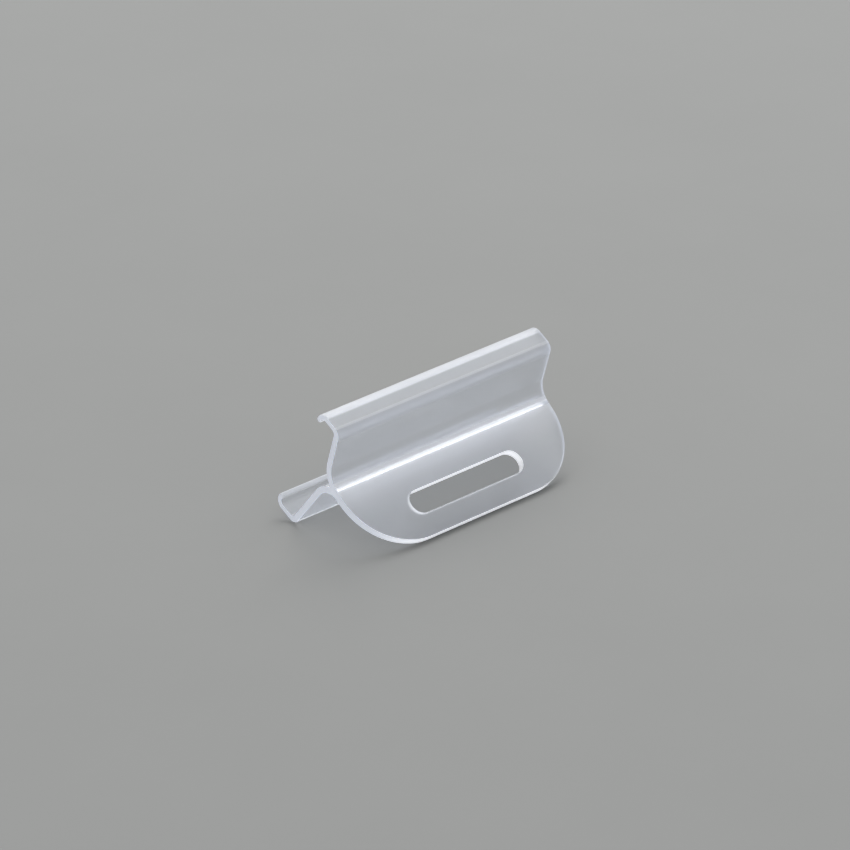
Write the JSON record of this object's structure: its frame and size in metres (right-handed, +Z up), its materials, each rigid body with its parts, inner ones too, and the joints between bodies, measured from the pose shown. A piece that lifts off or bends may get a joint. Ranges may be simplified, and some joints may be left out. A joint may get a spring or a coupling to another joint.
{
  "type": "roller shade pull handle",
  "caption": "Clear plastic clip-on pull handle: two hooked jaws snap over a shade's flat bottom bar, and a rounded finger tab with a long slot stands out in front.",
  "frame": {"origin": "middle of the footprint, on the surface that the handle stands on", "axes": "+X along the handle's length, +Y back from the tab towards the jaws, +Z up"},
  "size_m": [0.056, 0.0282, 0.0258],
  "materials": {
    "clear_plastic": "clear polycarbonate with a slightly satin, moulded surface and rounded cut edges"
  },
  "bodies": {
    "root": {"pull_handle": "clear_plastic"}
  },
  "joints": []
}
